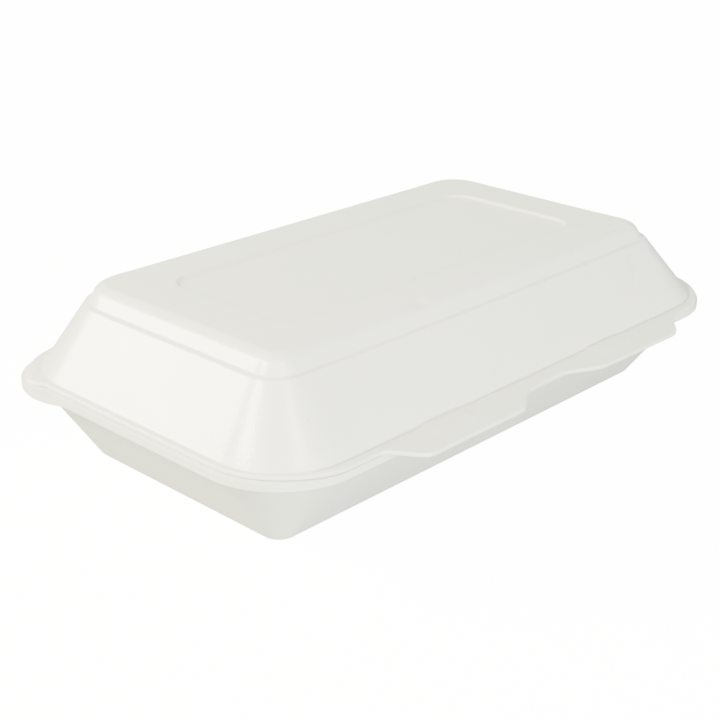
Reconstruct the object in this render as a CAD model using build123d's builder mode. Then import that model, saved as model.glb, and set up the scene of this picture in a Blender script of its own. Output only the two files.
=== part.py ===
from build123d import *

import os
from typing import NamedTuple

# Foam clamshell container: a tray and a lid pressed from one foam sheet and joined by a thin web.
# X runs along the long side, the latch tabs face -Y, the hinge is at +Y, and the tray's flat
# bottom lies on Z = 0 with the origin at its centre. All sizes are millimetres.

# Foam sheet, and how much wider a slanting wall measures along the level
sheet = 2.2
wall_slant = 1.18

# Tray
floor_length = 187.8
floor_depth = 90.0
floor_corner = 5.5
floor_edge_radius = 2.5
floor_inner_radius = 4.0
parting_height = 32.2

# Tray rim
tray_rim_length = 234.6
rim_depth = 136.8
tray_rim_corner = 28.5
tray_rim_thickness = 2.5
tray_rim_width = 3.4
rim_offset = -1.6
rim_edge_radius = 0.5

# Ears at the rear corners of both rims: how far they stand out of the tray's rim, their radius, and
# how far they stop short of the fold
ear_reach = 2.9
ear_radius = 24.0
ear_stop = 3.8
ear_blend = 8.0

# Gap between the closed rims, and the clearance of what fits together
rim_gap = 0.3
fit_clearance = 0.3

# Lid rim, a little shorter than the tray's at each end
lid_rim_inset = 0.1
lid_rim_corner = 32.0
lid_rim_thickness = 1.4
lid_rim_width = 3.4
crease_radius = 2.0

# Lid walls and crown
total_height = 60.6
shoulder_height = 54.8
shoulder_length = 195.8
shoulder_depth = 104.0
shoulder_corner = 17.9
shoulder_ledge = 0.6
crown_length = 186.0
crown_depth = 94.0
crown_corner = 11.0
crown_edge_radius = 6.0

# Panel pressed into the crown
panel_length = 145.6
panel_depth = 56.0
panel_corner = 8.0
panel_drop = 1.0
panel_bevel = 1.0

# Latch tabs on the lid's front edge: reach, and places along X from the middle
tab_reach = 10.2
tab_inner_root = 8.0
tab_inner_tip = 21.5
tab_outer_tip = 66.5
tab_outer_root = 78.0
tab_tip_radius = 4.0

# Latch pockets raised in the tabs, and the tray's tongues that sit in them
latch_place = 42.7
latch_width = 19.0
latch_rise = 0.8
latch_wall = 1.2
latch_reach = 9.0
tongue_thickness = 1.6

# Hinge web
web_thickness = 0.7
web_end_margin = 1.2


class Level(NamedTuple):
    """A rounded rectangle at a height, from -front to +back in Y."""

    half_length: float
    front: float
    back: float
    corner: float
    height: float


def centred_level(length, depth, corner, height, offset=0.0):
    """A level of the given length and depth, its middle moved along Y by offset."""
    return Level(length / 2, depth / 2 - offset, depth / 2 + offset, corner, height)


def shrink(level, run, height=None):
    """The level moved inwards by run on every side, at its own or another height."""
    half_length, front, back, corner, own_height = level
    new_height = own_height if height is None else height
    return Level(half_length - run, front - run, back - run, corner - run, new_height)


def on_wall(lower, upper, height):
    """The level at a height on the straight wall through two levels."""
    share = (height - lower.height) / (upper.height - lower.height)
    return Level(*(low + share * (high - low) for low, high in zip(lower, upper)))


def outline(level):
    """The level's rounded rectangle as a flat face."""
    with BuildSketch(Plane.XY.offset(level.height)) as section:
        with Locations((0, (level.back - level.front) / 2)):
            RectangleRounded(2 * level.half_length, level.front + level.back, level.corner)
    return section.sketch


def rim_outline(level):
    """A rim's rounded rectangle with an ear at each rear corner, as a flat face."""
    ear_middle = tray_rim.half_length + ear_reach - ear_radius
    ear_place = level.back - ear_stop - ear_radius
    with BuildSketch(Plane.XY.offset(level.height)) as section:
        with Locations((0, (level.back - level.front) / 2)):
            RectangleRounded(2 * level.half_length, level.front + level.back, level.corner)
        with Locations((-ear_middle, ear_place), (ear_middle, ear_place)):
            Circle(ear_radius)
        crossings = section.vertices().filter_by(lambda point: 0 < point.Y < level.back - 0.1)
        fillet(crossings, ear_blend)
    return section.sketch


def latch_outline(side, width, front, back, height):
    """A rectangle at one latch, between two Y places at a height; side is -1 or 1."""
    with BuildSketch(Plane.XY.offset(height)) as section:
        with Locations((side * latch_place, (front + back) / 2)):
            Rectangle(width, back - front)
    return section.sketch


# Levels of the tray, outside and inside
wall_run = sheet * wall_slant
tray_rim_bottom = parting_height - tray_rim_thickness
tray_floor = centred_level(floor_length, floor_depth, floor_corner, 0.0)
tray_rim = centred_level(tray_rim_length, rim_depth, tray_rim_corner, tray_rim_bottom, rim_offset)
tray_wall_top = shrink(tray_rim, tray_rim_width)
tray_mouth = shrink(on_wall(tray_floor, tray_wall_top, parting_height), wall_run)
tray_inside = shrink(on_wall(tray_floor, tray_wall_top, sheet), wall_run)

# Levels of the lid, outside
lid_rim_bottom = parting_height + rim_gap
lid_rim_top = lid_rim_bottom + lid_rim_thickness
lid_rim_length = tray_rim_length - 2 * lid_rim_inset
lid_rim = centred_level(lid_rim_length, rim_depth, lid_rim_corner, lid_rim_bottom, rim_offset)
lid_wall_foot = shrink(lid_rim, lid_rim_width, lid_rim_top)
shoulder = centred_level(shoulder_length, shoulder_depth, shoulder_corner, shoulder_height)
crown_foot = shrink(shoulder, shoulder_ledge)
crown_top = centred_level(crown_length, crown_depth, crown_corner, total_height)
panel_floor = centred_level(panel_length, panel_depth, panel_corner, total_height - panel_drop)
panel_mouth = shrink(panel_floor, -panel_bevel, total_height)

# Levels of the lid, inside
inner_crown_height = total_height - sheet
inner_shoulder_height = shoulder_height - sheet / 2
lid_mouth = shrink(on_wall(lid_wall_foot, shoulder, lid_rim_bottom), wall_run)
inner_shoulder = shrink(on_wall(lid_wall_foot, shoulder, inner_shoulder_height), wall_run)
inner_crown = shrink(on_wall(crown_foot, crown_top, inner_crown_height), wall_run)
panel_underside = shrink(panel_mouth, 0.0, inner_crown_height - panel_drop)

# Places along Y of the rims, the latches and the hinge
rim_front = -tray_rim.front
rim_back = tray_rim.back
tab_front = rim_front - tab_reach
pocket_back = -lid_wall_foot.front
pocket_front = pocket_back - latch_reach + latch_wall
tongue_front = pocket_front + fit_clearance
pocket_width = latch_width - 2 * latch_wall
tongue_width = pocket_width - 2 * fit_clearance
tongue_back = pocket_back - fit_clearance
tongue_rise = rim_gap + latch_rise - fit_clearance
pad_back = pocket_back + crease_radius


def front_and_side_edges(face):
    """The outer edges of a rim's flat face, apart from those along the hinge."""
    return [edge for edge in face.outer_wire().edges() if edge.center().Y < rim_back - 0.1]


# Space inside the tray
with BuildPart() as tray_space:
    loft([outline(tray_inside), outline(tray_mouth)], ruled=True)
    fillet(tray_space.faces().sort_by(Axis.Z)[0].edges(), floor_inner_radius)

# Tray: slanting walls, a flat rim and two tongues under the lid's tabs
with BuildPart() as tray:
    loft([outline(tray_floor), outline(tray_wall_top)], ruled=True)
    fillet(tray.faces().sort_by(Axis.Z)[0].edges(), floor_edge_radius)
    extrude(rim_outline(tray_rim), amount=tray_rim_thickness)
    add(tray_space.part, mode=Mode.SUBTRACT)
    mouth_edges = tray.faces().sort_by(Axis.Z)[-1].inner_wires()[0].edges()
    fillet(mouth_edges, rim_edge_radius)
    fillet(front_and_side_edges(tray.faces().sort_by(Axis.Z)[-1]), rim_edge_radius)
    for side in (-1, 1):
        tongue_foot = latch_outline(side, tongue_width, tongue_front, pocket_back, parting_height)
        tongue = latch_outline(side, tongue_width, tongue_front, tongue_back, parting_height)
        extrude(tongue_foot, -tongue_thickness)
        extrude(tongue, tongue_rise)
tray.part.label = "tray"

# Space inside the lid, with the panel's back standing down into it
with BuildPart() as lid_space:
    loft([outline(lid_mouth), outline(inner_shoulder)], ruled=True)
    loft([outline(inner_shoulder), outline(inner_crown)], ruled=True)
    fillet(lid_space.faces().sort_by(Axis.Z)[-1].edges(), crown_edge_radius - sheet)
    extrude(outline(panel_underside), amount=panel_drop, mode=Mode.SUBTRACT)

# Crown of the lid, with its rounded edge and pressed panel
with BuildPart() as crown:
    loft([outline(crown_foot), outline(crown_top)], ruled=True)
    fillet(crown.faces().sort_by(Axis.Z)[-1].edges(), crown_edge_radius)
    loft([outline(panel_floor), outline(panel_mouth)], ruled=True, mode=Mode.SUBTRACT)

# Lid: slanting walls up to a shoulder, the crown, a thin rim, two tabs and their latch pockets
with BuildPart() as lid:
    extrude(rim_outline(lid_rim), amount=lid_rim_thickness)
    loft([outline(lid_wall_foot), outline(shoulder)], ruled=True)
    rim_face = lid.faces().filter_by(Axis.Z).filter_by(lambda face: face.inner_wires()).first
    fillet(rim_face.inner_wires()[0].edges(), crease_radius)
    add(crown.part)
    with BuildSketch(Plane.XY.offset(lid_rim_bottom)) as tabs:
        with BuildLine():
            Polyline(
                (tab_inner_root, rim_front + lid_rim_width),
                (tab_inner_root, rim_front),
                (tab_inner_tip, tab_front),
                (tab_outer_tip, tab_front),
                (tab_outer_root, rim_front),
                (tab_outer_root, rim_front + lid_rim_width),
                close=True,
            )
        make_face()
        fillet(tabs.vertices().group_by(Axis.Y)[0], tab_tip_radius)
        mirror(about=Plane.YZ)
    extrude(amount=lid_rim_thickness)
    for side in (-1, 1):
        pad_foot = latch_outline(side, latch_width, pocket_back - latch_reach, pad_back, lid_rim_top)
        pad_top = latch_outline(side, pocket_width, pocket_front, pad_back, lid_rim_top + latch_rise)
        loft([pad_foot, pad_top], ruled=True)
        pocket = latch_outline(side, pocket_width, pocket_front, pocket_back, lid_rim_bottom)
        extrude(pocket, latch_rise, mode=Mode.SUBTRACT)
    add(lid_space.part, mode=Mode.SUBTRACT)
lid.part.label = "lid"

# Hinge: a thin half-round web along the straight part of both rims' back edges
hinge_height = parting_height + rim_gap / 2
web_inner = rim_gap / 2
web_outer = web_inner + web_thickness
lid_straight = lid_rim.half_length - lid_rim.corner
tray_straight = tray_rim.half_length - tray_rim.corner
web_half_length = min(lid_straight, tray_straight) - web_end_margin

with BuildPart() as hinge_web:
    with BuildSketch(Plane.YZ) as ring:
        with Locations((rim_back, hinge_height)):
            Circle(web_outer)
            Circle(web_inner, mode=Mode.SUBTRACT)
        with Locations((rim_back + web_outer, hinge_height)):
            Rectangle(2 * web_outer, 2 * web_outer, mode=Mode.INTERSECT)
    extrude(amount=web_half_length, both=True)
hinge_web.part.label = "hinge_web"

os.makedirs("parts", exist_ok=True)
for piece in (tray.part, lid.part, hinge_web.part):
    export_step(piece, f"parts/{piece.label}.step")
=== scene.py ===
"""Foam clamshell container, closed: a lid and a tray pressed from one foam sheet, joined by a thin fold.

The sizes in the classes are millimetres in the row's frame: X along the long side, the latch tabs
facing -Y, the fold at +Y and the tray standing on Z = 0. Each finished mesh is scaled to metres.
"""

import logging
import math
from dataclasses import dataclass, field
from enum import Enum
from typing import NamedTuple

import bmesh
import bpy
from mathutils import Matrix, Vector


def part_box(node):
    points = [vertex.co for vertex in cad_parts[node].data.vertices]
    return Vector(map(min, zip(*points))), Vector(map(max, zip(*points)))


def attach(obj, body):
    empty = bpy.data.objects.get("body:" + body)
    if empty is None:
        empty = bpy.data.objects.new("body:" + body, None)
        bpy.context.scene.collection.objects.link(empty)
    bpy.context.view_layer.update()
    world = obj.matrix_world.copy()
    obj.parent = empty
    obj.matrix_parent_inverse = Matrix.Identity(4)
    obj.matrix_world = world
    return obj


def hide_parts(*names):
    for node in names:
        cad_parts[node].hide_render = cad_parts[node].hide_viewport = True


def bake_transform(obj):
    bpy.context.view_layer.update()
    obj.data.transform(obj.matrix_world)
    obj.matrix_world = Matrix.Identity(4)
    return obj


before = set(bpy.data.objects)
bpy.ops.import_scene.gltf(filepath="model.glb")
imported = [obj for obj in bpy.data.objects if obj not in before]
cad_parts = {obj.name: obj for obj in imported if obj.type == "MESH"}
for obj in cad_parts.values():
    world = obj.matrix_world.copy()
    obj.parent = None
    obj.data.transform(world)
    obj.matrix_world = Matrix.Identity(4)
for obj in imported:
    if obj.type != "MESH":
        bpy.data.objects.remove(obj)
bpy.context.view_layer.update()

MM = 0.001
LOG = logging.getLogger("foam_container")
Point = tuple[float, float]
Corners = tuple[Vector, Vector]

# The foam sheet, how much wider a slanting wall measures along the level, and the two together
SHEET = 2.2
WALL_SLANT = 1.18
WALL_RUN = SHEET * WALL_SLANT

# How far a latch's steep sides run out, and the least corner of a level that was shrunk
SIDE_STEP = 0.2
LEAST_CORNER = 0.4

# How near two vertices are merged, and how much large faces count in the smooth shading
MERGE_DISTANCE = 1e-5
SHADING_WEIGHT = 100


class Body(Enum):
    """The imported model's bodies that the pieces ride on."""

    TRAY = "tray_body"
    LID = "lid_body"


class Slot(Enum):
    """The record's material slots."""

    FOAM = "foam"
    PRESSED = "pressed_foam"


class Stretch(Enum):
    """The eight stretches of a rounded rectangle, counter-clockwise from the front."""

    FRONT = 0
    FRONT_RIGHT = 1
    RIGHT = 2
    BACK_RIGHT = 3
    BACK = 4
    BACK_LEFT = 5
    LEFT = 6
    FRONT_LEFT = 7


class Rounding(NamedTuple):
    """How far a rounding reaches to each side of its edge, and the number of faces across it."""

    offset: float
    segments: int


def node_box(node: str) -> Corners:
    """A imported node's lowest and highest corners.

    Args:
        node: The node's name.

    Returns:
        The two corners in millimetres.
    """
    low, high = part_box(node)
    return low / MM, high / MM


def ease(value: float, start: float, end: float) -> float:
    """A smooth step from 0 at start to 1 at end.

    Args:
        value: The place to read.
        start: Where the step begins.
        end: Where the step is done.

    Returns:
        A share from 0 to 1.
    """
    share = min(max((value - start) / (end - start), 0.0), 1.0)
    return share * share * (3.0 - 2.0 * share)


def along(points: list[Point], x: float) -> float:
    """The height at x of a line through the points, level beyond its ends.

    Args:
        points: Pairs of place and height, in rising order of place.
        x: The place to read.

    Returns:
        The height there.
    """
    if x <= points[0][0]:
        return points[0][1]
    for (x0, y0), (x1, y1) in zip(points, points[1:]):
        if x <= x1:
            return y0 + (y1 - y0) * (x - x0) / (x1 - x0)
    return points[-1][1]


def rounded_along(points: list[Point], x: float, radius: float) -> float:
    """The line through the points with its corners rounded.

    Args:
        points: Pairs of place and height, in rising order of place.
        x: The place to read.
        radius: How far the rounding reaches to each side of a corner.

    Returns:
        The height there.
    """
    samples = 8
    steps = [radius * (2 * i / samples - 1) for i in range(samples + 1)]
    return sum(along(points, x + step) for step in steps) / len(steps)


@dataclass(frozen=True)
class Station:
    """A place on the outline that every ring of a shell has: a stretch and a share of it."""

    stretch: Stretch
    share: float


@dataclass(frozen=True)
class Level:
    """A rounded rectangle at a height, whose front may bow out by a little in its middle."""

    left: float
    right: float
    front: float
    back: float
    front_corner: float
    back_corner: float
    height: float
    bow: float = 0.0

    @classmethod
    def centred(cls, length: float, depth: float, corner: float, height: float) -> "Level":
        """A level about the origin with four like corners.

        Args:
            length: Its size along X.
            depth: Its size along Y.
            corner: The radius of its corners.
            height: Its place along Z.

        Returns:
            The level.
        """
        return cls(-length / 2, length / 2, -depth / 2, depth / 2, corner, corner, height)

    def shrunk(self, run: float, height: float | None = None) -> "Level":
        """The level moved inwards on every side.

        Args:
            run: How far inwards.
            height: The new height, or None for the same.

        Returns:
            The smaller level.
        """
        return Level(
            self.left + run,
            self.right - run,
            self.front + run,
            self.back - run,
            max(self.front_corner - run, LEAST_CORNER),
            max(self.back_corner - run, LEAST_CORNER),
            self.height if height is None else height,
            self.bow,
        )

    def scaled(self, share: float, height: float | None = None) -> "Level":
        """The level shrunk about the origin.

        Args:
            share: The share of its size that is left.
            height: The new height, or None for the same.

        Returns:
            The smaller level.
        """
        return Level(
            self.left * share,
            self.right * share,
            self.front * share,
            self.back * share,
            self.front_corner * share,
            self.back_corner * share,
            self.height if height is None else height,
            self.bow * share,
        )

    def towards(self, other: "Level", height: float) -> "Level":
        """The level at a height on the straight wall between this one and another.

        Args:
            other: The wall's other end.
            height: A height on the wall.

        Returns:
            The level there.
        """
        share = (height - self.height) / (other.height - self.height)

        def mix(low: float, high: float) -> float:
            """A value at the same share of the way."""
            return low + share * (high - low)

        return Level(
            mix(self.left, other.left),
            mix(self.right, other.right),
            mix(self.front, other.front),
            mix(self.back, other.back),
            mix(self.front_corner, other.front_corner),
            mix(self.back_corner, other.back_corner),
            height,
            mix(self.bow, other.bow),
        )

    def ray(self, station: Station) -> tuple[Vector, Vector]:
        """The point at a station and the outward direction there.

        Args:
            station: The place on the outline.

        Returns:
            The point and a unit direction, both level.
        """
        front, back = self.front_corner, self.back_corner
        front_end = self.front + self.bow
        centres = {
            Stretch.FRONT_RIGHT: (self.right - front, front_end + front, front, -90.0),
            Stretch.BACK_RIGHT: (self.right - back, self.back - back, back, 0.0),
            Stretch.BACK_LEFT: (self.left + back, self.back - back, back, 90.0),
            Stretch.FRONT_LEFT: (self.left + front, front_end + front, front, 180.0),
        }
        sides = {
            Stretch.FRONT: ((self.left + front, front_end), (self.right - front, front_end)),
            Stretch.RIGHT: ((self.right, front_end + front), (self.right, self.back - back)),
            Stretch.BACK: ((self.right - back, self.back), (self.left + back, self.back)),
            Stretch.LEFT: ((self.left, self.back - back), (self.left, front_end + front)),
        }
        if station.stretch in centres:
            x, y, radius, start = centres[station.stretch]
            angle = math.radians(start + 90.0 * station.share)
            outward = Vector((math.cos(angle), math.sin(angle), 0.0))
            return Vector((x, y, self.height)) + radius * outward, outward
        first, last = (Vector((*end, self.height)) for end in sides[station.stretch])
        run = last - first
        point = first + station.share * run
        if station.stretch is Stretch.FRONT:
            point.y -= self.bow * 4.0 * station.share * (1.0 - station.share)
        return point, Vector((run.y, -run.x, 0.0)).normalized()


@dataclass(frozen=True)
class Ear:
    """The round ear of a rim at a rear corner, where the fold ends."""

    middle_x: float
    middle_y: float
    radius: float
    start_y: float
    full_y: float
    start_x: float = 0.0
    full_x: float = 1.0

    def reach(self, point: Vector, outward: Vector) -> float:
        """How far the ear's circle lies outwards of a point.

        Args:
            point: A point at the rim's foot.
            outward: The direction to look in.

        Returns:
            The distance, or 0 where the ear has no part.
        """
        if point.y < self.start_y:
            return 0.0
        side = math.copysign(self.middle_x, point.x)
        offset = Vector((point.x - side, point.y - self.middle_y, 0.0))
        across = offset.dot(outward)
        inside = across * across - offset.length_squared + self.radius * self.radius
        if inside <= 0.0:
            return 0.0
        share = ease(point.y, self.start_y, self.full_y) * ease(abs(point.x), self.start_x, self.full_x)
        return (math.sqrt(inside) - across) * share


@dataclass(frozen=True)
class Outline:
    """The stations around a shell, with named places along its front."""

    foot: Level
    marks: tuple[float, ...]
    front_pitch: float = 1.2
    side_pitch: float = 2.6
    corner_steps: int = 24

    def stations(self) -> list[Station]:
        """The stations, counter-clockwise from the front's left end."""
        made: list[Station] = []
        foot = self.foot
        side = foot.back - foot.front - foot.front_corner - foot.back_corner
        back = foot.right - foot.left - 2 * foot.back_corner
        lengths = {Stretch.RIGHT: side, Stretch.BACK: back, Stretch.LEFT: side}
        for stretch in Stretch:
            if stretch is Stretch.FRONT:
                made += [Station(stretch, share) for share in self.front_shares()]
                continue
            steps = self.corner_steps
            if stretch in lengths:
                steps = math.ceil(lengths[stretch] / self.side_pitch)
            made += [Station(stretch, step / steps) for step in range(steps)]
        return made

    def front_shares(self) -> list[float]:
        """Shares along the front that hit each mark, with even steps between them."""
        start = self.foot.left + self.foot.front_corner
        end = self.foot.right - self.foot.front_corner
        places = [start, *sorted(x for x in self.marks if start < x < end), end]
        found: list[float] = []
        for low, high in zip(places, places[1:]):
            steps = max(1, math.ceil((high - low) / self.front_pitch))
            found += [low + (high - low) * step / steps for step in range(steps)]
        return [(x - start) / (end - start) for x in found]


def finished(mesh: bmesh.types.BMesh, name: str) -> bpy.types.Object:
    """Turns a mesh in millimetres into an object in metres.

    Args:
        mesh: The mesh, which is freed.
        name: The object's name.

    Returns:
        The object, smooth-shaded, with its faces pointing outwards.
    """
    bmesh.ops.remove_doubles(mesh, verts=mesh.verts, dist=MERGE_DISTANCE)
    bmesh.ops.recalc_face_normals(mesh, faces=mesh.faces)
    bmesh.ops.scale(mesh, vec=Vector((MM, MM, MM)), verts=mesh.verts)
    data = bpy.data.meshes.new(name)
    mesh.to_mesh(data)
    mesh.free()
    for polygon in data.polygons:
        polygon.use_smooth = True
    piece = bpy.data.objects.new(name, data)
    bpy.context.scene.collection.objects.link(piece)
    shading = piece.modifiers.new("even_shading", "WEIGHTED_NORMAL")
    shading.keep_sharp = True
    shading.weight = SHADING_WEIGHT
    return piece


class Shell:
    """A closed shell grown from one ring of vertices by extruding it from level to level."""

    def __init__(self, name: str, stations: list[Station]) -> None:
        """Starts an empty shell.

        Args:
            name: The piece's name.
            stations: The places on the outline that every ring has.
        """
        self.name = name
        self.stations = stations
        self.mesh = bmesh.new()
        self.number = self.mesh.verts.layers.int.new("station")
        self.ring: list[bmesh.types.BMEdge] = []

    def grow(self, points: list[Vector]) -> list[bmesh.types.BMEdge]:
        """Adds the next ring.

        Args:
            points: One point for each station.

        Returns:
            The ring's edges.
        """
        if not self.ring:
            made = bmesh.ops.create_circle(self.mesh, segments=len(points), radius=1.0)
            verts = made["verts"]
            for number, vert in enumerate(verts):
                vert[self.number] = number
            edges = list(self.mesh.edges)
        else:
            made = bmesh.ops.extrude_edge_only(self.mesh, edges=self.ring)
            verts = [part for part in made["geom"] if isinstance(part, bmesh.types.BMVert)]
            fresh = set(verts)
            edges = [
                part
                for part in made["geom"]
                if isinstance(part, bmesh.types.BMEdge) and fresh.issuperset(part.verts)
            ]
        for vert in verts:
            vert.co = points[vert[self.number]]
        self.ring = edges
        return edges

    def level(self, level: Level) -> list[bmesh.types.BMEdge]:
        """Adds a ring on a level and returns its edges."""
        return self.grow([level.ray(station)[0] for station in self.stations])

    def cap(self) -> None:
        """Closes the newest ring with one face."""
        bmesh.ops.contextual_create(self.mesh, geom=self.ring)

    def round(self, edges: list[bmesh.types.BMEdge], rounding: Rounding) -> None:
        """Rounds a ring's edges.

        Args:
            edges: The ring.
            rounding: The rounding that they get.
        """
        bmesh.ops.bevel(
            self.mesh,
            geom=edges,
            offset=rounding.offset,
            offset_type="OFFSET",
            segments=rounding.segments,
            profile=0.5,
            affect="EDGES",
            clamp_overlap=True,
            loop_slide=True,
            material=-1,
        )

    def finish(self) -> bpy.types.Object:
        """Turns the shell into an object in metres."""
        return finished(self.mesh, self.name)


@dataclass(frozen=True)
class Latches:
    """The raised pads on the lid's tabs, and the pockets and tongues that lie under them."""

    places: Point = (-46.3, 39.2)
    pad_half: float = 7.0
    pad_slope: float = 3.0
    pad_rise: float = 0.4
    pocket_half: float = 8.3
    pocket_rise: float = 0.8
    tongue_half: float = 8.0
    tongue_thickness: float = 1.6

    def across(self, x: float, full: float, slope: float) -> float:
        """How fully a latch stands at a place along X.

        Args:
            x: The place.
            full: The half-width over which it stands fully.
            slope: How far its side runs out beyond that.

        Returns:
            A share from 0 to 1.
        """
        distance = min(abs(x - place) for place in self.places)
        return ease(full + slope - distance, 0.0, slope)

    def marks(self) -> list[float]:
        """The places along X where a latch has an edge."""
        halves = (
            self.pad_half,
            self.pad_half + self.pad_slope,
            self.pocket_half,
            self.pocket_half - SIDE_STEP,
            self.tongue_half,
            self.tongue_half - SIDE_STEP,
        )
        return [place + sign * half for place in self.places for sign in (-1, 1) for half in halves]


LATCHES = Latches()


@dataclass
class Lid:
    """The upper half: rim with two tabs, slanting wall, shoulder line, crown and pressed panel."""

    box: Corners
    foot_half_length: float = 113.8
    foot_front: float = -66.6
    foot_back: float = 63.4
    foot_front_corner: float = 25.5
    foot_back_corner: float = 28.6
    rim_thickness: float = 1.4
    rim_settle: float = 0.05
    rim_edge: float = 0.8
    rim_edge_limit: float = 0.4
    crease_width: float = 0.9
    crease_limit: float = 0.35
    crease_depth: float = 0.2
    front_crease_depth: float = 0.85
    shoulder: Level = Level(-98.1, 98.1, -50.0, 52.0, 10.8, 17.9, 54.8, 0.9)
    shoulder_ledge: float = 1.3
    wall_shares: tuple[float, ...] = (0.96, 0.8, 0.6, 0.4, 0.2, 0.1)
    crown: Level = Level(-93.0, 93.0, -44.8, 47.0, 5.5, 11.0, 60.6, 0.9)
    crown_foot_rise: float = 1.2
    crown_shares: tuple[float, ...] = (0.12, 0.5)
    panel: Level = Level.centred(145.6, 56.0, 8.0, 59.6)
    panel_bevel: float = 1.0
    panel_sag: float = 0.35
    panel_shares: tuple[float, ...] = (0.2, 0.4, 0.6, 0.8, 0.94)
    panel_back_margin: float = 0.4
    panel_back_drop: float = 1.0
    panel_back_share: float = 0.5
    corner_reach: dict[Stretch, float] = field(
        default_factory=lambda: {
            Stretch.FRONT_RIGHT: 2.9,
            Stretch.RIGHT: 3.8,
            Stretch.BACK_RIGHT: 3.4,
            Stretch.BACK: 3.4,
            Stretch.BACK_LEFT: 0.9,
            Stretch.LEFT: 2.1,
            Stretch.FRONT_LEFT: 1.9,
        }
    )
    front_edge: tuple[Point, ...] = (
        (-84.0, -70.2),
        (-75.0, -70.1),
        (-66.3, -80.0),
        (-20.9, -80.1),
        (-10.8, -73.2),
        (8.1, -72.4),
        (23.4, -78.3),
        (66.9, -79.2),
        (70.5, -77.5),
        (73.6, -74.3),
        (78.5, -70.9),
        (88.0, -70.4),
    )
    edge_rounding: float = 2.0
    ear: Ear = Ear(96.2, 39.0, 22.6, 34.0, 45.0, 98.5, 105.5)
    rim_shares: tuple[float, ...] = (0.0, 0.15, 0.33, 0.5, 0.6, 0.7, 0.85, 1.0)
    pad_end: float = 0.5
    pad_foot: float = 0.7
    pocket_span: Point = (0.03, 0.57)
    under_shares: tuple[float, ...] = (1.0, 0.65, 0.59, 0.57, 0.3, 0.03, 0.0)
    droop: float = 0.11
    droop_start: float = 3.4
    dent_place: tuple[float, float, float] = (-30.2, -42.6, 59.4)
    dent_radius: float = 5.0
    dent_push: tuple[float, float, float] = (0.0, 0.25, -0.35)
    crown_rounding: Rounding = Rounding(3.0, 8)
    roof_rounding: Rounding = Rounding(1.9, 4)
    crease_rounding: Rounding = Rounding(0.5, 3)
    panel_foot_rounding: Rounding = Rounding(0.4, 2)
    panel_lip_rounding: Rounding = Rounding(0.35, 2)
    crown_foot_rounding: Rounding = Rounding(0.6, 4)
    shoulder_rounding: Rounding = Rounding(0.6, 4)
    top_rounding: Rounding = Rounding(0.5, 4)
    bottom_rounding: Rounding = Rounding(0.45, 3)
    mouth_rounding: Rounding = Rounding(0.5, 2)

    def __post_init__(self) -> None:
        """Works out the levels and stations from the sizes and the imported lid's box."""
        low, high = self.box
        self.rim_bottom = low.z - self.rim_settle
        self.rim_top = low.z + self.rim_thickness
        self.top = high.z
        half = self.foot_half_length
        corners = (self.foot_front_corner, self.foot_back_corner)
        self.foot = Level(-half, half, self.foot_front, self.foot_back, *corners, self.rim_top)
        self.crown_foot = self.shoulder.shrunk(self.shoulder_ledge)
        self.panel_mouth = self.panel.shrunk(-self.panel_bevel, self.top)
        self.stations = self.outline().stations()

    def outline(self) -> Outline:
        """The stations around the lid, with marks at the tabs' corners and the latches' edges."""
        return Outline(self.foot, (*(x for x, _ in self.front_edge), *LATCHES.marks()))

    def reach(self, station: Station, point: Vector, outward: Vector) -> float:
        """How far the rim reaches beyond the wall's foot.

        Args:
            station: The place on the outline.
            point: The wall's foot there.
            outward: The outward direction there.

        Returns:
            The rim's width.
        """
        order = list(Stretch)
        here = order.index(station.stretch)
        if station.stretch is Stretch.FRONT:
            edge = rounded_along(list(self.front_edge), point.x, self.edge_rounding)
            return self.foot_front - edge
        ends = {Stretch.FRONT_RIGHT: self.front_edge[-1], Stretch.FRONT_LEFT: self.front_edge[0]}
        own = self.corner_reach[station.stretch]
        before = self.corner_reach.get(order[here - 1])
        after = self.corner_reach.get(order[(here + 1) % len(order)])
        before = self.foot_front - ends[station.stretch][1] if before is None else before
        after = self.foot_front - ends[station.stretch][1] if after is None else after
        if station.stretch in (Stretch.RIGHT, Stretch.BACK, Stretch.LEFT):
            return max(own, self.ear.reach(point, outward))
        share = station.share
        plain = before + (own - before) * ease(share, 0.0, 0.5) + (after - own) * ease(share, 0.5, 1.0)
        return max(plain, self.ear.reach(point, outward))

    def rim_ring(self, share: float | None, height: float, bottom: bool = False) -> list[Vector]:
        """A ring of the rim.

        Args:
            share: How far out the ring lies between the crease and the edge, or None on the edge.
            height: The ring's height.
            bottom: True on the rim's underside.

        Returns:
            One point for each station.
        """
        points: list[Vector] = []
        for station in self.stations:
            foot, outward = self.foot.ray(station)
            distance = reach = self.reach(station, foot, outward)
            if share is not None:
                start = min(self.crease_width, self.crease_limit * reach)
                end = reach - min(self.rim_edge, self.rim_edge_limit * reach)
                distance = start + share * (end - start)
            point = foot + outward * distance
            point.z = height - self.droop * max(distance - self.droop_start, 0.0)
            if station.stretch is Stretch.FRONT and share is not None:
                point.z += self.pocket_rise(point.x, share) if bottom else self.pad_rise(point.x, share)
            points.append(point)
        return points

    def pad_rise(self, x: float, share: float) -> float:
        """How far a pad stands above the rim at a place along X and a share of the rim's width."""
        across = LATCHES.across(x, LATCHES.pad_half, LATCHES.pad_slope)
        return LATCHES.pad_rise * across * (1.0 - ease(share, self.pad_end, self.pad_foot))

    def pocket_rise(self, x: float, share: float) -> float:
        """How far a pocket is cut up into the rim's underside, at the same kind of place."""
        inner, outer = self.pocket_span
        if not inner <= share <= outer:
            return 0.0
        return LATCHES.pocket_rise * LATCHES.across(x, LATCHES.pocket_half - SIDE_STEP, SIDE_STEP)

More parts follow.
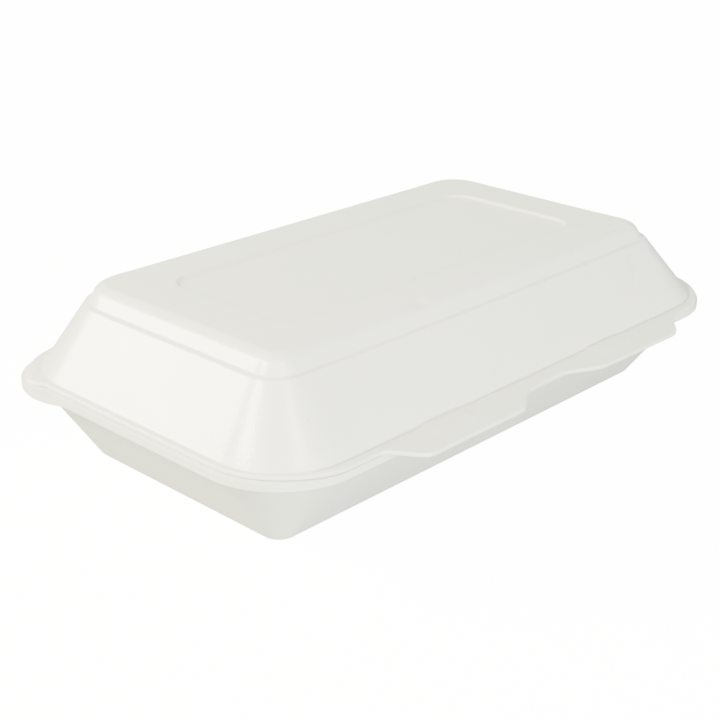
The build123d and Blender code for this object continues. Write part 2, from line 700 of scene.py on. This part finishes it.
    def foot_ring(self) -> list[Vector]:
        """The crease where the wall meets the rim, which climbs the wall behind each latch pad."""
        points: list[Vector] = []
        for station in self.stations:
            point, _ = self.foot.ray(station)
            if station.stretch is Stretch.FRONT:
                height = self.rim_top + self.pad_rise(point.x, 0.0)
                point = self.foot.towards(self.shoulder, height).ray(station)[0]
            shares = {
                Stretch.FRONT: 1.0,
                Stretch.FRONT_RIGHT: 1.0 - station.share,
                Stretch.FRONT_LEFT: station.share,
            }
            extra = self.front_crease_depth - self.crease_depth
            point.z -= self.crease_depth + extra * shares.get(station.stretch, 0.0)
            points.append(point)
        return points

    def dent(self, mesh: bmesh.types.BMesh) -> None:
        """Presses the slight dent of the photograph into the crown's front edge.

        Args:
            mesh: The lid's mesh.
        """
        place, push = Vector(self.dent_place), Vector(self.dent_push)
        for vert in mesh.verts:
            depth = ease(self.dent_radius - (vert.co - place).length, 0.0, self.dent_radius)
            vert.co += depth * push

    def build(self) -> bpy.types.Object:
        """Grows the lid from the middle of its panel, over its outside and back along its inside.

        Returns:
            The lid's object.
        """
        shell = Shell("foam_lid", self.stations)
        for share in self.panel_shares:
            height = self.panel.height - self.panel_sag * (1.0 - share * share)
            shell.level(self.panel.scaled(share, height))
            if share == self.panel_shares[0]:
                shell.cap()
        panel_foot = shell.level(self.panel)
        panel_lip = shell.level(self.panel_mouth)
        top_width = self.panel_mouth.left - self.crown.left
        for share in self.crown_shares:
            shell.level(self.panel_mouth.shrunk(-share * top_width))
        crown_edge = shell.level(self.crown)
        shell.level(self.crown.towards(self.crown_foot, self.shoulder.height + self.crown_foot_rise))
        crown_foot = shell.level(self.crown_foot)
        shoulder = shell.level(self.shoulder)
        for share in self.wall_shares:
            height = self.rim_top + share * (self.shoulder.height - self.rim_top)
            shell.level(self.shoulder.towards(self.foot, height))
        crease = shell.grow(self.foot_ring())
        for share in self.rim_shares:
            shell.grow(self.rim_ring(share, self.rim_top))
        top_edge = shell.grow(self.rim_ring(None, self.rim_top))
        bottom_edge = shell.grow(self.rim_ring(None, self.rim_bottom))
        for share in self.under_shares:
            shell.grow(self.rim_ring(share, self.rim_bottom, bottom=True))
        mouth = shell.level(self.foot.towards(self.shoulder, self.rim_bottom).shrunk(WALL_RUN))
        inner_shoulder = self.foot.towards(self.shoulder, self.shoulder.height - SHEET / 2)
        shell.level(inner_shoulder.shrunk(WALL_RUN))
        roof = self.top - SHEET
        panel_back = roof - self.panel_back_drop
        roof_edge = shell.level(self.crown_foot.towards(self.crown, roof).shrunk(WALL_RUN))
        shell.level(self.panel_mouth.shrunk(-self.panel_back_margin, roof))
        shell.level(self.panel_mouth.shrunk(0.0, panel_back))
        shell.level(self.panel.scaled(self.panel_back_share, panel_back))
        shell.cap()
        shell.round(crown_edge, self.crown_rounding)
        shell.round(roof_edge, self.roof_rounding)
        shell.round(crease, self.crease_rounding)
        shell.round(panel_foot, self.panel_foot_rounding)
        shell.round(panel_lip, self.panel_lip_rounding)
        shell.round(crown_foot, self.crown_foot_rounding)
        shell.round(shoulder, self.shoulder_rounding)
        shell.round(top_edge, self.top_rounding)
        shell.round(bottom_edge, self.bottom_rounding)
        shell.round(mouth, self.mouth_rounding)
        self.dent(shell.mesh)
        return shell.finish()


@dataclass
class Tray:
    """The lower half: flat floor, slanting wall, flat rim and the two tongues of the latches."""

    box: Corners
    floor: Level = Level.centred(187.8, 90.0, 5.5, 0.0)
    floor_shares: tuple[float, ...] = (0.2, 0.4, 0.6, 0.8, 0.95)
    wall_shares: tuple[float, ...] = (0.15, 0.35, 0.55, 0.75, 0.93)
    wall_half_length: float = 113.9
    wall_front: float = -66.6
    wall_back: float = 63.4
    wall_corner: float = 25.1
    rim_reach: float = 3.4
    rim_thickness: float = 2.5
    rim_settle: float = 0.2
    tongue_front: float = -74.0
    tongue_top: float = 32.6
    ear: Ear = Ear(96.2, 39.0, 24.0, 0.0, 26.0)
    rim_under_share: float = 0.5
    rim_top_shares: tuple[float, ...] = (0.75, 0.4, 0.08)
    inner_wall_shares: tuple[float, ...] = (0.75, 0.5, 0.25)
    inner_floor_shares: tuple[float, ...] = (0.9, 0.7, 0.5, 0.3)
    floor_rounding: Rounding = Rounding(1.5, 4)
    inner_rounding: Rounding = Rounding(2.4, 5)
    under_rounding: Rounding = Rounding(1.5, 5)
    low_rounding: Rounding = Rounding(0.6, 4)
    top_rounding: Rounding = Rounding(0.6, 4)
    mouth_rounding: Rounding = Rounding(0.5, 3)

    def __post_init__(self) -> None:
        """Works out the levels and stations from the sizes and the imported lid's box."""
        self.rim_top = self.box[0].z - self.rim_settle
        self.rim_bottom = self.rim_top - self.rim_thickness
        half = self.wall_half_length
        corners = (self.wall_corner, self.wall_corner)
        self.wall_top = Level(-half, half, self.wall_front, self.wall_back, *corners, self.rim_bottom)
        self.stations = self.outline().stations()

    def outline(self) -> Outline:
        """The stations around the tray, with marks at the tongues' edges."""
        return Outline(self.wall_top, tuple(LATCHES.marks()))

    def rim_ring(self, share: float, height: float, tongue_height: float) -> list[Vector]:
        """A ring of the rim.

        Args:
            share: How far out the ring lies, from the wall's top at 0 to the rim's edge at 1.
            height: The ring's height.
            tongue_height: Its height on the tongues.

        Returns:
            One point for each station.
        """
        points: list[Vector] = []
        for station in self.stations:
            foot, outward = self.wall_top.ray(station)
            reach = self.rim_reach
            tongue = 0.0
            if station.stretch is Stretch.FRONT:
                tongue = LATCHES.across(foot.x, LATCHES.tongue_half - SIDE_STEP, SIDE_STEP)
                reach += tongue * (self.wall_front - self.rim_reach - self.tongue_front)
            else:
                reach = max(reach, self.ear.reach(foot, outward))
            point = foot + outward * share * reach
            point.z = height + tongue * (tongue_height - height)
            points.append(point)
        return points

    def build(self) -> bpy.types.Object:
        """Grows the tray from the middle of its underside, over its outside and back along its inside.

        Returns:
            The tray's object.
        """
        shell = Shell("foam_tray", self.stations)
        for share in self.floor_shares:
            shell.level(self.floor.scaled(share))
            if share == self.floor_shares[0]:
                shell.cap()
        floor_edge = shell.level(self.floor)
        for share in self.wall_shares:
            shell.level(self.floor.towards(self.wall_top, share * self.rim_bottom))
        under = shell.level(self.wall_top)
        tongue_bottom = self.rim_top - LATCHES.tongue_thickness
        shell.grow(self.rim_ring(self.rim_under_share, self.rim_bottom, self.rim_bottom))
        low_edge = shell.grow(self.rim_ring(1.0, self.rim_bottom, tongue_bottom))
        top_edge = shell.grow(self.rim_ring(1.0, self.rim_top, self.tongue_top))
        for share in self.rim_top_shares:
            shell.grow(self.rim_ring(share, self.rim_top, self.tongue_top))
        shell.grow(self.rim_ring(0.0, self.rim_top, self.rim_top))
        mouth_level = self.floor.towards(self.wall_top, self.rim_top).shrunk(WALL_RUN)
        mouth = shell.level(mouth_level)
        inner_floor = self.floor.towards(self.wall_top, SHEET).shrunk(WALL_RUN)
        for share in self.inner_wall_shares:
            shell.level(inner_floor.towards(mouth_level, SHEET + share * (self.rim_top - SHEET)))
        inner_edge = shell.level(inner_floor)
        for share in self.inner_floor_shares:
            shell.level(inner_floor.scaled(share))
        shell.cap()
        shell.round(floor_edge, self.floor_rounding)
        shell.round(inner_edge, self.inner_rounding)
        shell.round(under, self.under_rounding)
        shell.round(low_edge, self.low_rounding)
        shell.round(top_edge, self.top_rounding)
        shell.round(mouth, self.mouth_rounding)
        return shell.finish()


@dataclass
class Fold:
    """The strip of the sheet pressed thin along the back, where the lid is joined to the tray."""

    box: Corners
    inner_radius: float = 0.15
    steps_round: int = 12

    def build(self) -> bpy.types.Object:
        """Spins a thin strip's section half round the fold's line and draws it along the back.

        Returns:
            The fold's object.
        """
        low, high = self.box
        middle = (low.z + high.z) / 2
        mesh = bmesh.new()
        for radius in (self.inner_radius, high.y - low.y):
            mesh.verts.new((low.x, low.y, middle + radius))
        mesh.verts.ensure_lookup_table()
        start = mesh.edges.new(mesh.verts[:2])
        bmesh.ops.spin(
            mesh,
            geom=[start, *start.verts],
            cent=(low.x, low.y, middle),
            axis=(1.0, 0.0, 0.0),
            angle=-math.pi,
            steps=self.steps_round,
        )
        profile = list(mesh.faces)
        made = bmesh.ops.extrude_face_region(mesh, geom=profile)
        moved = [part for part in made["geom"] if isinstance(part, bmesh.types.BMVert)]
        bmesh.ops.translate(mesh, vec=Vector((high.x - low.x, 0.0, 0.0)), verts=moved)
        return finished(mesh, "fold_strip")


def foam_group(mottle_detail: float = 3.0) -> bpy.types.NodeTree:
    """The grain of pressed foam: fine cells over a soft unevenness.

    Args:
        mottle_detail: How many finer layers the unevenness has.

    Returns:
        The node group, with a height and a tone that change over the surface.
    """
    group = bpy.data.node_groups.new("foam_grain", "ShaderNodeTree")
    for name, kind, value in (
        ("Vector", "NodeSocketVector", None),
        ("Cells per metre", "NodeSocketFloat", 1500.0),
        ("Cell share", "NodeSocketFloat", 0.5),
        ("Mottle per metre", "NodeSocketFloat", 60.0),
    ):
        socket = group.interface.new_socket(name=name, in_out="INPUT", socket_type=kind)
        if value is not None:
            socket.default_value = value
    for name in ("Height", "Tone"):
        group.interface.new_socket(name=name, in_out="OUTPUT", socket_type="NodeSocketFloat")
    nodes, links = group.nodes, group.links
    enter = nodes.new("NodeGroupInput")
    leave = nodes.new("NodeGroupOutput")
    cells = nodes.new("ShaderNodeTexVoronoi")
    cells.feature = "SMOOTH_F1"
    mottle = nodes.new("ShaderNodeTexNoise")
    mottle.inputs["Detail"].default_value = mottle_detail
    mix = nodes.new("ShaderNodeMix")
    links.new(enter.outputs["Vector"], cells.inputs["Vector"])
    links.new(enter.outputs["Cells per metre"], cells.inputs["Scale"])
    links.new(enter.outputs["Vector"], mottle.inputs["Vector"])
    links.new(enter.outputs["Mottle per metre"], mottle.inputs["Scale"])
    links.new(enter.outputs["Cell share"], mix.inputs["Factor"])
    links.new(mottle.outputs["Fac"], mix.inputs["A"])
    links.new(cells.outputs["Distance"], mix.inputs["B"])
    links.new(mix.outputs["Result"], leave.inputs["Height"])
    links.new(mottle.outputs["Fac"], leave.inputs["Tone"])
    return group


@dataclass(frozen=True)
class FoamFinish:
    """A finish of white polystyrene foam with a pressed, satin skin."""

    name: str
    light: tuple[float, float, float] = (0.785, 0.825, 0.81)
    dark: tuple[float, float, float] = (0.755, 0.795, 0.78)
    specular: float = 0.8
    roughness: float = 0.29
    gloss_spread: float = 0.04
    bump: float = 0.9
    bump_depth: float = 0.00012

    def material(self, grain: bpy.types.NodeTree) -> bpy.types.Material:
        """Builds the finish's material.

        Args:
            grain: The shared foam grain group.

        Returns:
            The material.
        """
        made = bpy.data.materials.new(self.name)
        made.use_nodes = True
        nodes, links = made.node_tree.nodes, made.node_tree.links
        shader = nodes["Principled BSDF"]
        shader.inputs["Specular IOR Level"].default_value = self.specular
        place = nodes.new("ShaderNodeTexCoord")
        foam = nodes.new("ShaderNodeGroup")
        foam.node_tree = grain
        tone = nodes.new("ShaderNodeMix")
        tone.data_type = "RGBA"
        tone.inputs["A"].default_value = (*self.dark, 1.0)
        tone.inputs["B"].default_value = (*self.light, 1.0)
        gloss = nodes.new("ShaderNodeMapRange")
        gloss.inputs["To Min"].default_value = self.roughness - self.gloss_spread
        gloss.inputs["To Max"].default_value = self.roughness + self.gloss_spread
        bump = nodes.new("ShaderNodeBump")
        bump.inputs["Strength"].default_value = self.bump
        bump.inputs["Distance"].default_value = self.bump_depth
        links.new(place.outputs["Object"], foam.inputs["Vector"])
        links.new(foam.outputs["Tone"], tone.inputs["Factor"])
        links.new(tone.outputs["Result"], shader.inputs["Base Color"])
        links.new(foam.outputs["Tone"], gloss.inputs["Value"])
        links.new(gloss.outputs["Result"], shader.inputs["Roughness"])
        links.new(foam.outputs["Height"], bump.inputs["Height"])
        links.new(bump.outputs["Normal"], shader.inputs["Normal"])
        return made


@dataclass(frozen=True)
class SoftLight:
    """A square studio light that faces the container from a direction."""

    name: str
    azimuth: float
    elevation: float
    spread: float
    strength: float
    colour: tuple[float, float, float]
    distance: float = 1.3

    def build(self, target: Vector) -> None:
        """Makes the light.

        Args:
            target: The point it faces, in metres.
        """
        turn, lift = math.radians(self.azimuth), math.radians(self.elevation)
        level = math.cos(lift)
        towards = Vector((math.cos(turn) * level, math.sin(turn) * level, math.sin(lift)))
        data = bpy.data.lights.new(self.name, "AREA")
        data.shape = "SQUARE"
        data.size = 2 * self.distance * math.tan(math.radians(self.spread))
        data.energy = self.strength * math.pi * self.distance**2
        data.color = self.colour
        lamp = bpy.data.objects.new(self.name, data)
        lamp.location = target + self.distance * towards
        lamp.rotation_euler = (-towards).to_track_quat("-Z", "Y").to_euler()
        bpy.context.scene.collection.objects.link(lamp)


@dataclass(frozen=True)
class Studio:
    """The pale floor, the soft lights and the camera at the photograph's angle."""

    target: tuple[float, float, float] = (0.0, 0.0, 0.03)
    floor_half: float = 4.0
    floor_colour: tuple[float, float, float] = (0.43, 0.46, 0.44)
    floor_roughness: float = 0.9
    backdrop_glow: float = 14.0
    world_colour: tuple[float, float, float] = (0.62, 1.0, 0.86)
    world_strength: float = 0.14
    lights: tuple[SoftLight, ...] = (
        SoftLight("back_left", 129.0, 25.0, 10.0, 9.6, (1.0, 0.88, 0.64)),
        SoftLight("upper_left", 168.0, 41.0, 6.5, 7.0, (1.0, 0.88, 0.64)),
        SoftLight("left", 200.0, 14.0, 10.0, 1.5, (0.97, 1.0, 0.84)),
        SoftLight("front_left", 220.0, 34.0, 20.0, 0.8, (1.0, 0.92, 0.77)),
        SoftLight("front", 254.0, 46.0, 3.0, 2.2, (1.0, 0.92, 0.77)),
        SoftLight("front_middle", 262.0, 22.0, 8.0, 2.7, (1.0, 0.92, 0.78)),
        SoftLight("front_low", 258.0, 5.0, 12.0, 7.0, (1.0, 0.97, 0.84), 0.9),
        SoftLight("backdrop", 46.0, 16.0, 30.0, 3.2, (0.82, 1.0, 0.9), 2.4),
    )
    camera_place: tuple[float, float, float] = (-0.34423, -0.31450, 0.21482)
    camera_yaw: float = 0.8138
    camera_pitch: float = 0.39788
    camera_roll: float = 0.00791
    focal_pixels: float = 1403.97
    picture_pixels: float = 720.0
    sensor_width: float = 36.0
    clip: tuple[float, float] = (0.01, 20.0)

    def build(self) -> None:
        """Makes the floor, the sky, the lights and the camera."""
        self.floor()
        self.sky()
        for light in self.lights:
            light.build(Vector(self.target))
        self.camera()

    def floor(self) -> None:
        """Lays the floor on Z = 0, whose own glow only whitens the picture's background."""
        mesh = bmesh.new()
        bmesh.ops.create_grid(mesh, x_segments=1, y_segments=1, size=self.floor_half)
        data = bpy.data.meshes.new("floor")
        mesh.to_mesh(data)
        mesh.free()
        plane = bpy.data.objects.new("floor", data)
        bpy.context.scene.collection.objects.link(plane)
        pale = bpy.data.materials.new("pale_floor")
        pale.use_nodes = True
        nodes, links = pale.node_tree.nodes, pale.node_tree.links
        shader = nodes["Principled BSDF"]
        shader.inputs["Base Color"].default_value = (*self.floor_colour, 1.0)
        shader.inputs["Roughness"].default_value = self.floor_roughness
        shader.inputs["Specular IOR Level"].default_value = 0.0
        shader.inputs["Emission Color"].default_value = (1.0, 1.0, 1.0, 1.0)
        path = nodes.new("ShaderNodeLightPath")
        glow = nodes.new("ShaderNodeMath")
        glow.operation = "MULTIPLY"
        glow.inputs[1].default_value = self.backdrop_glow
        links.new(path.outputs["Is Camera Ray"], glow.inputs[0])
        links.new(glow.outputs["Value"], shader.inputs["Emission Strength"])
        data.materials.append(pale)

    def sky(self) -> None:
        """Sets the faint even light from all round, which is white to the camera."""
        world = bpy.data.worlds.new("studio")
        world.use_nodes = True
        nodes, links = world.node_tree.nodes, world.node_tree.links
        back = nodes["Background"]
        path = nodes.new("ShaderNodeLightPath")
        strength = nodes.new("ShaderNodeMapRange")
        strength.inputs["To Min"].default_value = self.world_strength
        strength.inputs["To Max"].default_value = self.backdrop_glow
        back.inputs["Color"].default_value = (*self.world_colour, 1.0)
        links.new(path.outputs["Is Camera Ray"], strength.inputs["Value"])
        links.new(strength.outputs["Result"], back.inputs["Strength"])
        bpy.context.scene.world = world

    def camera(self) -> None:
        """Makes the camera from its place and its three turns."""
        yaw, pitch, roll = self.camera_yaw, self.camera_pitch, self.camera_roll
        level = math.cos(pitch)
        ahead = Vector((math.sin(yaw) * level, math.cos(yaw) * level, -math.sin(pitch)))
        flat_right = Vector((math.cos(yaw), -math.sin(yaw), 0.0))
        flat_up = flat_right.cross(ahead)
        right = math.cos(roll) * flat_right + math.sin(roll) * flat_up
        up = math.cos(roll) * flat_up - math.sin(roll) * flat_right
        data = bpy.data.cameras.new("camera")
        data.sensor_width = self.sensor_width
        data.lens = self.focal_pixels * self.sensor_width / self.picture_pixels
        data.clip_start, data.clip_end = self.clip
        camera = bpy.data.objects.new("camera", data)
        turned = Matrix((right, up, -ahead)).transposed().to_4x4()
        camera.matrix_world = Matrix.Translation(self.camera_place) @ turned
        bpy.context.scene.collection.objects.link(camera)
        bpy.context.scene.camera = camera


def dress(piece: bpy.types.Object, finish: bpy.types.Material) -> None:
    """Gives a piece its material.

    Args:
        piece: The piece.
        finish: Its material.
    """
    piece.data.materials.append(finish)


def main() -> None:
    """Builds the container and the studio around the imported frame."""
    logging.basicConfig(level=logging.INFO, format="%(name)s: %(message)s")
    Studio().build()
    grain = foam_group()
    foam = FoamFinish("white_foam").material(grain)
    pressed = FoamFinish("pressed_foam", roughness=0.37).material(grain)
    lid = Lid(node_box("lid")).build()
    tray = Tray(node_box("lid")).build()
    fold = Fold(node_box("hinge_web")).build()
    dress(lid, foam)
    dress(tray, foam)
    dress(fold, pressed)
    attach(lid, Body.LID.value)
    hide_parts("lid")
    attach(tray, Body.TRAY.value)
    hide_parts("tray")
    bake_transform(fold)
    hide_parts("hinge_web")
    for piece in (lid, tray, fold):
        LOG.info("%s: %d faces", piece.name, len(piece.data.polygons))


if __name__ == "__main__":
    main()
